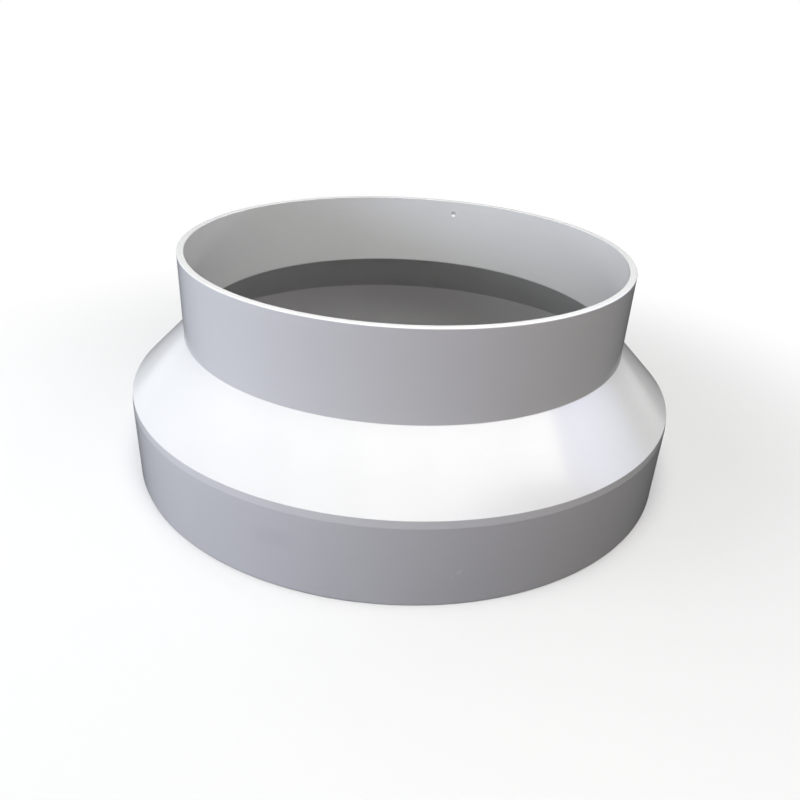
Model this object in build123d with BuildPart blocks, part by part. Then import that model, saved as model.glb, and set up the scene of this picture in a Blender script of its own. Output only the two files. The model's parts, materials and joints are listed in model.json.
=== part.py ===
"""Duct reducer: a plain plastic ring that steps a 250 mm round duct down to a 200 mm one.

Millimetres, +Z up. The duct axis is Z, and Z = 0 is the rim of the large socket, on which the reducer
stands. The wall is one moulding: a large collar, a cone and a small collar, drawn as one closed section
and turned about the axis.
"""
import math
import os

from build123d import *

# Driving dimensions: the ducts that slip into the sockets
large_duct_d = 250.0
small_duct_d = 200.0
slip_clearance = 1.0

# Driving dimensions: walls and heights
collar_wall = 3.0
cone_wall = 1.4
large_collar_height = 38.5
cone_height = 24.5
small_collar_height = 38.0

# Driving dimensions: the narrow band under the shoulder, which leans in by its inset towards the top
band_height = 3.2
band_inset = 0.4

# Driving dimensions: edges
rim_round = 0.5
mouth_break = 0.2
shoulder_round = 0.3
neck_round = 0.4
inner_neck_round = 1.0
inner_shoulder_round = 1.0

# Driving dimensions: the small round dent on the inside of the small socket
dent_d = 3.0
dent_depth = 0.8
dent_below_rim = 7.3
dent_azimuth = 75.0

# Radii, from the ducts and the wall
large_bore_r = (large_duct_d + slip_clearance) / 2
small_bore_r = (small_duct_d + slip_clearance) / 2
large_outer_r = large_bore_r + collar_wall
small_outer_r = small_bore_r + collar_wall
shoulder_r = large_outer_r - band_inset

# Heights, from the rim of the large socket
band_foot_z = large_collar_height - band_height
shoulder_z = large_collar_height
neck_z = shoulder_z + cone_height
top_z = neck_z + small_collar_height

# The inside of the cone is its outside moved in by the cone's wall, straight down by cone_drop
cone_run = shoulder_r - small_outer_r
cone_slope = cone_height / cone_run
cone_drop = cone_wall * math.hypot(1, cone_slope)
inner_neck_z = neck_z + (small_outer_r - small_bore_r) * cone_slope - cone_drop
inner_shoulder_z = shoulder_z + (shoulder_r - large_bore_r) * cone_slope - cone_drop

# Corners of the section, as radius and height
large_mouth = (large_bore_r, 0)
large_rim = (large_outer_r, 0)
band_foot = (large_outer_r, band_foot_z)
shoulder = (shoulder_r, shoulder_z)
neck = (small_outer_r, neck_z)
small_rim = (small_outer_r, top_z)
small_mouth = (small_bore_r, top_z)
inner_neck = (small_bore_r, inner_neck_z)
inner_shoulder = (large_bore_r, inner_shoulder_z)

# The dent is a shallow cap of a ball
dent_ball_r = ((dent_d / 2) ** 2 + dent_depth**2) / (2 * dent_depth)
dent_ball_offset = small_bore_r + dent_depth - dent_ball_r
dent_z = top_z - dent_below_rim


with BuildPart() as reducer:
    with BuildSketch(Plane.XZ) as section:
        with BuildLine():
            Polyline(
                large_mouth,
                large_rim,
                band_foot,
                shoulder,
                neck,
                small_rim,
                small_mouth,
                inner_neck,
                inner_shoulder,
                close=True,
            )
        make_face()

        def corner(point):
            return section.vertices().sort_by_distance(point)[0]

        fillet([corner(small_rim), corner(large_rim)], rim_round)
        chamfer([corner(small_mouth), corner(large_mouth)], mouth_break)
        fillet(corner(shoulder), shoulder_round)
        fillet(corner(neck), neck_round)
        fillet(corner(inner_neck), inner_neck_round)
        fillet(corner(inner_shoulder), inner_shoulder_round)
    revolve(axis=Axis.Z)

    with Locations((0, 0, dent_z)):
        with PolarLocations(dent_ball_offset, 1, start_angle=dent_azimuth):
            Sphere(dent_ball_r, mode=Mode.SUBTRACT)

reducer.part.label = "reducer"

os.makedirs("parts", exist_ok=True)
export_step(reducer.part, "parts/reducer.step")
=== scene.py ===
"""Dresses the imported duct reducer: a smooth turned wall of very light grey plastic on a pale floor.

Metres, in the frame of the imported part: the duct axis is Z, and the large socket's rim stands on
Z = 0. Angles are written in degrees, and headings and azimuths turn from +X to +Y.
"""
import json
import math

import bmesh
import bpy
from mathutils import Euler, Matrix, Vector


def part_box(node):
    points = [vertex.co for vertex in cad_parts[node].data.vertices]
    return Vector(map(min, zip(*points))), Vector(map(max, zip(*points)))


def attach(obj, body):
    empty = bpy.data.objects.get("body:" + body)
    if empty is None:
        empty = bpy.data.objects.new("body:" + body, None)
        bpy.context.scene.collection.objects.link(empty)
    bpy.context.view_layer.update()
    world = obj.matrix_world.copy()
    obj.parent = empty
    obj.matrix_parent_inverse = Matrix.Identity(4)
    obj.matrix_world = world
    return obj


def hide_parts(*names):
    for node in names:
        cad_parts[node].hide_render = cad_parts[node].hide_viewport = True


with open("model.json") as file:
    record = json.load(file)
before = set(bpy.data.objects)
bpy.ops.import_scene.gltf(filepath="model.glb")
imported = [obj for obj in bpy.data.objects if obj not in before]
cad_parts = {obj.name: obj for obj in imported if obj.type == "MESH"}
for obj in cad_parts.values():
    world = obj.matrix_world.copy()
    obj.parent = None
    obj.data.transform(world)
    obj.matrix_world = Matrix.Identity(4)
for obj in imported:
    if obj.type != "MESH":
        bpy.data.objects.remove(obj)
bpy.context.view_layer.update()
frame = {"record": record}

MM = 0.001

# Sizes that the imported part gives
SOCKETS = {m["name"]: m["dims"] for m in frame["record"]["mounts"] if m["kind"] == "bore"}
LARGE_BORE_R = SOCKETS["large_socket"]["r_mm"] * MM
SMALL_BORE_R = SOCKETS["small_socket"]["r_mm"] * MM
HIGHEST_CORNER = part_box("reducer")[1]
LARGE_OUTER_R = HIGHEST_CORNER.x
TOP_Z = HIGHEST_CORNER.z
COLLAR_WALL = LARGE_OUTER_R - LARGE_BORE_R
SMALL_OUTER_R = SMALL_BORE_R + COLLAR_WALL

# Sizes of the section, as in the part's source
SHOULDER_Z = 38.5 * MM
CONE_HEIGHT = 24.5 * MM
CONE_WALL = 1.4 * MM
BAND_HEIGHT = 3.2 * MM
BAND_INSET = 0.4 * MM

# Rounds and breaks on the section's corners: radius, angle that the section turns by, and segments
CORNER_ROUNDS = {
    "small_rim": (0.5 * MM, 90, 4),
    "large_rim": (0.5 * MM, 90, 4),
    "small_mouth": (0.2 * MM, 90, 1),
    "large_mouth": (0.2 * MM, 90, 1),
    "shoulder": (0.3 * MM, 45, 3),
    "neck": (0.4 * MM, 45, 3),
    "inner_neck": (1.0 * MM, 45, 4),
    "inner_shoulder": (1.0 * MM, 45, 4),
}

# The small round dent on the inside of the small collar
DENT_D = 3.0 * MM
DENT_DEPTH = 0.8 * MM
DENT_BELOW_RIM = 7.3 * MM
DENT_AZIMUTH = 75
DENT_Z = TOP_Z - DENT_BELOW_RIM

# Fineness of the mesh, and how it is smoothed
TURN_STEPS = 360
BALL_SEGMENTS = 48
BALL_RINGS = 24
MERGE_DISTANCE = 1e-7
RING_TOLERANCE = 1e-6
SHARP_ANGLE = 30
FACE_AREA_WEIGHT = 80

# The plastic: colours of the skin, of a painted highlight on the two rims, and of the marks
PLASTIC = (0.748, 0.75, 0.754)
PLASTIC_PALE = (0.764, 0.766, 0.769)
# Painted highlight: a lighter colour laid on the two rims
RIM_HIGHLIGHT_PAINT = (0.79, 0.79, 0.79)
SCUFF = (0.85, 0.85, 0.855)
SMUDGE = (0.69, 0.69, 0.7)
PLASTIC_IOR = 1.53
PLASTIC_ROUGHNESS = (0.125, 0.16)
# Depth from each rim that the painted highlight covers
RIM_HIGHLIGHT_DEPTH = 0.4 * MM

# Noise in the skin: scales per metre along X, Y and Z, and detail
CLOUDS = ((22, 22, 22), 3)
STREAKS = ((30, 30, 700), 2)
WAVES = ((45, 45, 45), 0)
GRAIN = ((420, 420, 420), 2)

# How the noise shows: the span of it that counts, its share of colour, and the depth of its bumps
CLOUD_SPAN = (0.3, 0.7)
STREAK_SPAN = (0.45, 0.75)
STREAK_SHARE = 0.6
WAVE_DEPTH = 0.04 * MM
WAVE_STRENGTH = 1
GRAIN_DEPTH = 0.02 * MM
GRAIN_STRENGTH = 0.12

# Marks on the outside of the large collar, which fade out over the span from their middle to their
# edge: azimuth, height, lean, half width, half height, share and colour
MARK_FADE = (0.2, 1)
MARKS = (
    (281.2, 15.2 * MM, -30, 1.3 * MM, 1.9 * MM, 0.9, SCUFF),
    (280.1, 12.7 * MM, 0, 1.4 * MM, 1.3 * MM, 0.5, SCUFF),
    (281.6, 17.8 * MM, -30, 0.9 * MM, 1.3 * MM, 0.3, SCUFF),
    (249.8, 22.4 * MM, 10, 13 * MM, 5.5 * MM, 0.5, SMUDGE),
)

# The floor: the paint that the camera sees, the duller paint that lights the reducer from below,
# and the radii over which the floor turns white to the eye and in reflections
FLOOR_R = 4.0
FLOOR_SEGMENTS = 96
BACKDROP_HEIGHT = 0.5
FLOOR_ALBEDO = 0.8
FLOOR_BOUNCE = 0.03
FLOOR_WHITE = 1
FLOOR_WHITE_SPAN = (0.14, 0.34)
FLOOR_MIRRORED_WHITE = 0.6
FLOOR_MIRROR_SPAN = (1.5, 3.0)

# Soft lamps: name, heading, tilt, distance, width, height, radiance and colour
SOFT_LIGHTS = (
    ("overhead", 270, 80, 1.5, 0.52, 0.37, 6.8, (1.0, 0.95, 0.99)),
    ("near_overhead", 270, 75, 0.7, 0.32, 0.32, 6.6, (0.95, 1.0, 0.94)),
    ("low_left", 220, 6, 1.5, 0.53, 0.37, 7.0, (0.62, 0.65, 1.0)),
    ("near_left", 205, 15, 0.7, 0.32, 0.32, 4.7, (0.94, 0.98, 1.0)),
    ("near_side", 180, 15, 0.42, 0.19, 0.19, 1.5, (0.85, 0.97, 1.0)),
    ("near_front", 280, 35, 0.42, 0.19, 0.19, 1.4, (1.0, 0.84, 0.8)),
    ("near_right", 330, 55, 0.42, 0.19, 0.19, 1.4, (0.98, 0.95, 1.0)),
    ("back_left", 135, 6, 1.5, 0.8, 0.36, 4.2, (1.0, 1.0, 1.0)),
    ("back_right", 45, 6, 1.5, 0.8, 0.36, 4.2, (1.0, 1.0, 1.0)),
)
WORLD_LIGHT = 0.35

# Strips of one overhead board, which fades to both sides and shows only in the plastic's sheen:
# start and end along the board from its corner, radiance and colour
SHEEN_CORNER = Vector((1.62, -0.36, 1.15))
SHEEN_HEADING = 26
SHEEN_DEPTH = 2.6
SHEEN_STRIPS = (
    (-3.2, -2.2, 0.9, (0.47, 0.56, 1.0)),
    (-2.2, -1.5, 1.8, (0.56, 0.65, 1.0)),
    (-1.5, -0.9, 2.6, (0.62, 0.7, 1.0)),
    (-0.9, 0.0, 3.6, (0.61, 0.66, 1.0)),
    (0.0, 0.5, 5.6, (1.0, 1.0, 1.0)),
    (0.5, 0.95, 4.9, (1.0, 1.0, 1.0)),
    (0.95, 1.35, 4.1, (1.0, 1.0, 1.0)),
    (1.35, 1.9, 3.0, (1.0, 1.0, 0.9)),
    (1.9, 2.4, 2.0, (1.0, 1.0, 0.8)),
    (2.4, 3.0, 1.0, (1.0, 1.0, 0.7)),
)

CAMERA_PLACE = Vector((0, -0.33472, 0.19343))
CAMERA_PITCH = 27.461
CAMERA_YAW = 0.027
CAMERA_ROLL = 2.983
CAMERA_LENS = 32.871
CAMERA_SENSOR = 36
CAMERA_CLIP_START = 0.01


def section_corners():
    """The corners of the wall's section, as radius and height, in order round the wall.

    The two corners beside the dent keep the long faces of the small collar clear of it.
    """
    shoulder_r = LARGE_OUTER_R - BAND_INSET
    neck_z = SHOULDER_Z + CONE_HEIGHT
    slope = CONE_HEIGHT / (shoulder_r - SMALL_OUTER_R)
    drop = CONE_WALL * math.hypot(1, slope)
    inner_neck_z = neck_z + COLLAR_WALL * slope - drop
    inner_shoulder_z = SHOULDER_Z + (shoulder_r - LARGE_BORE_R) * slope - drop
    return {
        "large_mouth": (LARGE_BORE_R, 0),
        "large_rim": (LARGE_OUTER_R, 0),
        "band_foot": (LARGE_OUTER_R, SHOULDER_Z - BAND_HEIGHT),
        "shoulder": (shoulder_r, SHOULDER_Z),
        "neck": (SMALL_OUTER_R, neck_z),
        "small_rim": (SMALL_OUTER_R, TOP_Z),
        "small_mouth": (SMALL_BORE_R, TOP_Z),
        "above_dent": (SMALL_BORE_R, DENT_Z + DENT_D),
        "below_dent": (SMALL_BORE_R, DENT_Z - DENT_D),
        "inner_neck": (SMALL_BORE_R, inner_neck_z),
        "inner_shoulder": (LARGE_BORE_R, inner_shoulder_z),
    }


def ring_edges(mesh, corner):
    """The edges of the ring that a corner of the section sweeps."""
    radius, height = corner

    def on_ring(vertex):
        off_radius = abs(vertex.co.xy.length - radius)
        off_height = abs(vertex.co.z - height)
        return max(off_radius, off_height) < RING_TOLERANCE

    return [edge for edge in mesh.edges if all(on_ring(v) for v in edge.verts)]


def round_ring(mesh, corner, radius, turn, segments):
    """Rounds a ring to a radius, where the section turns by an angle."""
    bmesh.ops.bevel(
        mesh,
        geom=ring_edges(mesh, corner),
        offset=radius * math.tan(math.radians(turn) / 2),
        offset_type="OFFSET",
        affect="EDGES",
        segments=segments,
        profile=0.5,
        material=-1,
        clamp_overlap=True,
    )


def finish_mesh(mesh, name):
    """Turns a bmesh into mesh data with smooth faces."""
    for face in mesh.faces:
        face.smooth = True
    data = bpy.data.meshes.new(name)
    mesh.to_mesh(data)
    mesh.free()
    return data


def turned_wall():
    """The wall, turned from its section, with its edges rounded."""
    corners = section_corners()
    mesh = bmesh.new()
    loop = [mesh.verts.new((radius, 0, height)) for radius, height in corners.values()]
    edges = [mesh.edges.new((a, b)) for a, b in zip(loop, loop[1:] + loop[:1])]
    bmesh.ops.spin(
        mesh,
        geom=loop + edges,
        cent=(0, 0, 0),
        axis=(0, 0, 1),
        angle=2 * math.pi,
        steps=TURN_STEPS,
        use_merge=True,
    )
    bmesh.ops.remove_doubles(mesh, verts=mesh.verts, dist=MERGE_DISTANCE)
    bmesh.ops.recalc_face_normals(mesh, faces=mesh.faces)
    for name, (radius, turn, segments) in CORNER_ROUNDS.items():
        round_ring(mesh, corners[name], radius, turn, segments)
    return finish_mesh(mesh, "reducer_wall")


def dent_ball():
    """The ball whose cap is the small round dent inside the small collar."""
    ball_r = ((DENT_D / 2) ** 2 + DENT_DEPTH**2) / (2 * DENT_DEPTH)
    reach = SMALL_BORE_R + DENT_DEPTH - ball_r
    turn = math.radians(DENT_AZIMUTH)
    mesh = bmesh.new()
    bmesh.ops.create_uvsphere(
        mesh,
        u_segments=BALL_SEGMENTS,
        v_segments=BALL_RINGS,
        radius=ball_r,
        matrix=Matrix.Translation((reach * math.cos(turn), reach * math.sin(turn), DENT_Z)),
    )
    return finish_mesh(mesh, "dent_ball")


def show(name, data):
    """Puts data into the scene as an object at the origin."""
    thing = bpy.data.objects.new(name, data)
    bpy.context.scene.collection.objects.link(thing)
    return thing


def sharpen(data, corner):
    """Marks the sharp edges, and a corner's ring whose turn is too slight to count as sharp."""
    data.set_sharp_from_angle(angle=math.radians(SHARP_ANGLE))
    mesh = bmesh.new()
    mesh.from_mesh(data)
    for edge in ring_edges(mesh, corner):
        edge.smooth = False
    mesh.to_mesh(data)
    mesh.free()


def cut_dent(piece):
    """Cuts the dent out of the wall for good."""
    ball = show("dent_ball", dent_ball())
    cut = piece.modifiers.new("dent", "BOOLEAN")
    cut.operation = "DIFFERENCE"
    cut.solver = "EXACT"
    cut.object = ball
    depsgraph = bpy.context.evaluated_depsgraph_get()
    dented = bpy.data.meshes.new_from_object(piece.evaluated_get(depsgraph))
    piece.modifiers.remove(cut)
    plain = piece.data
    piece.data = dented
    bpy.data.meshes.remove(plain)
    bpy.data.objects.remove(ball)
    dented.name = "reducer_wall"


def make_reducer(finish):
    """The whole reducer, with its finish."""
    piece = show("reducer_wall", turned_wall())
    cut_dent(piece)
    piece.data.materials.clear()
    piece.data.materials.append(finish)
    sharpen(piece.data, section_corners()["band_foot"])
    even = piece.modifiers.new("even_normals", "WEIGHTED_NORMAL")
    even.keep_sharp = True
    even.weight = FACE_AREA_WEIGHT
    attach(piece, "root")
    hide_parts("reducer")


def satin_plastic():
    """Very light grey rigid plastic: a satin skin with faint moulding streaks, a few marks and a
    painted highlight on the two rims.
    """
    material = bpy.data.materials.new("satin_plastic")
    material.use_nodes = True
    nodes, links = material.node_tree.nodes, material.node_tree.links
    skin = nodes["Principled BSDF"]
    skin.inputs["IOR"].default_value = PLASTIC_IOR
    place = nodes.new("ShaderNodeTexCoord").outputs["Object"]

    def mottle(scale, detail):
        """Noise from 0 to 1, with scales per metre along X, Y and Z."""
        spread = nodes.new("ShaderNodeMapping")
        spread.inputs["Scale"].default_value = scale
        links.new(place, spread.inputs["Vector"])
        noise = nodes.new("ShaderNodeTexNoise")
        noise.inputs["Scale"].default_value = 1
        noise.inputs["Detail"].default_value = detail
        links.new(spread.outputs["Vector"], noise.inputs["Vector"])
        return noise.outputs["Fac"]

    def ramp(value, span, low, high):
        """Takes a value from a span on to the span from low to high."""
        scaled = nodes.new("ShaderNodeMapRange")
        scaled.interpolation_type = "SMOOTHSTEP"
        scaled.inputs["From Min"].default_value = span[0]
        scaled.inputs["From Max"].default_value = span[1]
        scaled.inputs["To Min"].default_value = low
        scaled.inputs["To Max"].default_value = high
        links.new(value, scaled.inputs["Value"])
        return scaled.outputs["Result"]

    def tint(under, share, colour):
        """Lays a colour over another by a share."""
        blend = nodes.new("ShaderNodeMix")
        blend.data_type = "RGBA"
        from_socket, to_socket = [socket for socket in blend.inputs if socket.type == "RGBA"]
        links.new(share, blend.inputs[0])
        if isinstance(under, tuple):
            from_socket.default_value = (*under, 1)
        else:
            links.new(under, from_socket)
        to_socket.default_value = (*colour, 1)
        return [socket for socket in blend.outputs if socket.type == "RGBA"][0]

    def spot(azimuth, height, lean, half_width, half_height):
        """Distance from the middle of an oval mark on the large collar, 1 at its edge.

        The mark's right-hand end leans up by an angle.
        """
        turn = math.radians(azimuth)
        local = nodes.new("ShaderNodeMapping")
        local.vector_type = "TEXTURE"
        local.inputs["Location"].default_value = (
            LARGE_OUTER_R * math.cos(turn),
            LARGE_OUTER_R * math.sin(turn),
            height,
        )
        local.inputs["Rotation"].default_value = (math.radians(lean), 0, turn)
        local.inputs["Scale"].default_value = (COLLAR_WALL, half_width, half_height)
        links.new(place, local.inputs["Vector"])
        far = nodes.new("ShaderNodeVectorMath")
        far.operation = "LENGTH"
        links.new(local.outputs["Vector"], far.inputs[0])
        return far.outputs["Value"]

    def off_middle_height():
        """Distance from half height, up or down, which is greatest on the two rims."""
        parts = nodes.new("ShaderNodeSeparateXYZ")
        links.new(place, parts.inputs[0])
        off_middle = nodes.new("ShaderNodeMath")
        off_middle.operation = "SUBTRACT"
        links.new(parts.outputs["Z"], off_middle.inputs[0])
        off_middle.inputs[1].default_value = TOP_Z / 2
        reach = nodes.new("ShaderNodeMath")
        reach.operation = "ABSOLUTE"
        links.new(off_middle.outputs[0], reach.inputs[0])
        return reach.outputs[0]

    def relief(height, depth, strength, under=None):
        """Bumps of a depth, laid over other bumps."""
        bump = nodes.new("ShaderNodeBump")
        bump.inputs["Strength"].default_value = strength
        bump.inputs["Distance"].default_value = depth
        links.new(height, bump.inputs["Height"])
        if under:
            links.new(under, bump.inputs["Normal"])
        return bump.outputs["Normal"]

    clouds = mottle(*CLOUDS)
    colour = tint(PLASTIC, ramp(clouds, CLOUD_SPAN, 0, 1), PLASTIC_PALE)
    colour = tint(colour, ramp(mottle(*STREAKS), STREAK_SPAN, 0, STREAK_SHARE), PLASTIC_PALE)
    for *oval, share, shade in MARKS:
        colour = tint(colour, ramp(spot(*oval), MARK_FADE, share, 0), shade)
    # Painted highlight: the plastic within a small depth of both rims is painted lighter, standing in
    # for the top rim showing white where it faces the light from above
    rim_highlight_span = (TOP_Z / 2 - RIM_HIGHLIGHT_DEPTH, TOP_Z / 2 - RIM_HIGHLIGHT_DEPTH / 2)
    colour = tint(colour, ramp(off_middle_height(), rim_highlight_span, 0, 1), RIM_HIGHLIGHT_PAINT)
    links.new(colour, skin.inputs["Base Color"])
    links.new(ramp(clouds, CLOUD_SPAN, *PLASTIC_ROUGHNESS), skin.inputs["Roughness"])
    wavy = relief(mottle(*WAVES), WAVE_DEPTH, WAVE_STRENGTH)
    grainy = relief(mottle(*GRAIN), GRAIN_DEPTH, GRAIN_STRENGTH, wavy)
    links.new(grainy, skin.inputs["Normal"])
    return material


def pale_floor():
    """Pale floor paint: lit and shaded near the reducer, and a plain white background further out.

    Light that bounces off the floor on to the reducer is as weak as off a dull floor.
    """
    material = bpy.data.materials.new("pale_floor")
    material.use_nodes = True
    nodes, links = material.node_tree.nodes, material.node_tree.links
    nodes.clear()
    path = nodes.new("ShaderNodeLightPath")
    place = nodes.new("ShaderNodeTexCoord")
    reach = nodes.new("ShaderNodeVectorMath")
    reach.operation = "LENGTH"
    links.new(place.outputs["Object"], reach.inputs[0])

    def fade(span, full, ray):
        """Full beyond the span and nought inside it, for rays of one kind."""
        outward = nodes.new("ShaderNodeMapRange")
        outward.interpolation_type = "SMOOTHSTEP"
        outward.inputs["From Min"].default_value = span[0]
        outward.inputs["From Max"].default_value = span[1]
        outward.inputs["To Max"].default_value = full
        links.new(reach.outputs["Value"], outward.inputs["Value"])
        share = nodes.new("ShaderNodeMath")
        share.operation = "MULTIPLY"
        links.new(outward.outputs["Result"], share.inputs[0])
        links.new(ray, share.inputs[1])
        return share.outputs[0]

    def most(one, other):
        """The larger of two values."""
        larger = nodes.new("ShaderNodeMath")
        larger.operation = "MAXIMUM"
        links.new(one, larger.inputs[0])
        links.new(other, larger.inputs[1])
        return larger.outputs[0]

    def matt(grey):
        """Plain matt paint."""
        paint = nodes.new("ShaderNodeBsdfDiffuse")
        paint.inputs["Color"].default_value = (grey, grey, grey, 1)
        return paint.outputs[0]

    def choose(share, one, other):
        """One shader, or the other by a share."""
        mixed = nodes.new("ShaderNodeMixShader")
        links.new(share, mixed.inputs[0])
        links.new(one, mixed.inputs[1])
        links.new(other, mixed.inputs[2])
        return mixed.outputs[0]

    seen = path.outputs["Is Camera Ray"]
    mirrored = most(path.outputs["Is Glossy Ray"], path.outputs["Is Transmission Ray"])
    whiteness = most(
        fade(FLOOR_WHITE_SPAN, FLOOR_WHITE, seen),
        fade(FLOOR_MIRROR_SPAN, FLOOR_MIRRORED_WHITE, mirrored),
    )
    lit = choose(seen, matt(FLOOR_BOUNCE), matt(FLOOR_ALBEDO))
    white = nodes.new("ShaderNodeEmission").outputs[0]
    out = nodes.new("ShaderNodeOutputMaterial")
    links.new(choose(whiteness, lit, white), out.inputs["Surface"])
    return material


def make_floor():
    """A round floor that turns up into a low backdrop all round."""
    mesh = bmesh.new()
    bmesh.ops.create_circle(mesh, cap_ends=True, radius=FLOOR_R, segments=FLOOR_SEGMENTS)
    rim = [edge for edge in mesh.edges if edge.is_boundary]
    raised = bmesh.ops.extrude_edge_only(mesh, edges=rim)["geom"]
    lift = [item for item in raised if isinstance(item, bmesh.types.BMVert)]
    bmesh.ops.translate(mesh, verts=lift, vec=(0, 0, BACKDROP_HEIGHT))
    data = bpy.data.meshes.new("floor")
    mesh.to_mesh(data)
    mesh.free()
    data.materials.append(pale_floor())
    show("floor", data)


def toward(heading, tilt):
    """The unit vector along a heading and a tilt above the floor."""
    h, t = math.radians(heading), math.radians(tilt)
    return Vector((math.cos(h) * math.cos(t), math.sin(h) * math.cos(t), math.sin(t)))


def make_panel(name, place, turn, width, height, radiance, colour):
    """A soft panel lamp that the camera doesn't see."""
    lamp = bpy.data.lights.new(name, "AREA")
    lamp.shape = "RECTANGLE"
    lamp.size = width
    lamp.size_y = height
    lamp.energy = radiance * math.pi * width * height
    lamp.color = colour
    panel = show(name, lamp)
    panel.location = place
    panel.rotation_euler = turn
    panel.visible_camera = False
    return panel


def make_soft_light(name, heading, tilt, distance, width, height, radiance, colour):
    """A panel that faces the middle of the reducer and leaves no bright spot on it."""
    out = toward(heading, tilt)
    place = Vector((0, 0, TOP_Z / 2)) + out * distance
    turn = (-out).to_track_quat("-Z", "Y").to_euler()
    panel = make_panel(name, place, turn, width, height, radiance, colour)
    panel.visible_glossy = False


def make_sheen(start, end, radiance, colour):
    """A strip of the overhead board that shows only in the plastic's sheen."""
    along = -toward(SHEEN_HEADING, 0)
    across = toward(SHEEN_HEADING + 90, 0)
    place = SHEEN_CORNER + along * (start + end) / 2 + across * SHEEN_DEPTH / 2
    turn = Euler((0, 0, math.radians(SHEEN_HEADING)))
    panel = make_panel("sheen", place, turn, end - start, SHEEN_DEPTH, radiance, colour)
    panel.visible_diffuse = False


def make_world():
    """Pale grey light all round; the camera sees it white."""
    world = bpy.data.worlds.new("room")
    bpy.context.scene.world = world
    world.use_nodes = True
    nodes, links = world.node_tree.nodes, world.node_tree.links
    background = nodes["Background"]
    background.inputs["Color"].default_value = (1, 1, 1, 1)
    path = nodes.new("ShaderNodeLightPath")
    strength = nodes.new("ShaderNodeMath")
    strength.operation = "MAXIMUM"
    strength.inputs[1].default_value = WORLD_LIGHT
    links.new(path.outputs["Is Camera Ray"], strength.inputs[0])
    links.new(strength.outputs[0], background.inputs["Strength"])


def make_lights():
    """The soft lamps, the strips of the sheen board and the light all round."""
    for lamp in SOFT_LIGHTS:
        make_soft_light(*lamp)
    for strip in SHEEN_STRIPS:
        make_sheen(*strip)
    make_world()


def make_camera():
    """The camera, a little above the reducer and close in front of it."""
    data = bpy.data.cameras.new("camera")
    data.sensor_width = CAMERA_SENSOR
    data.lens = CAMERA_LENS
    data.clip_start = CAMERA_CLIP_START
    camera = show("camera", data)
    pitch, yaw, roll = (math.radians(a) for a in (CAMERA_PITCH, CAMERA_YAW, CAMERA_ROLL))
    aim = Euler((math.pi / 2 - pitch, 0, -yaw)).to_matrix().to_4x4()
    tilted = aim @ Matrix.Rotation(roll, 4, "Z")
    camera.matrix_world = Matrix.Translation(CAMERA_PLACE) @ tilted
    bpy.context.scene.camera = camera


make_reducer(satin_plastic())
make_floor()
make_lights()
make_camera()
bpy.context.scene.view_settings.view_transform = "Standard"
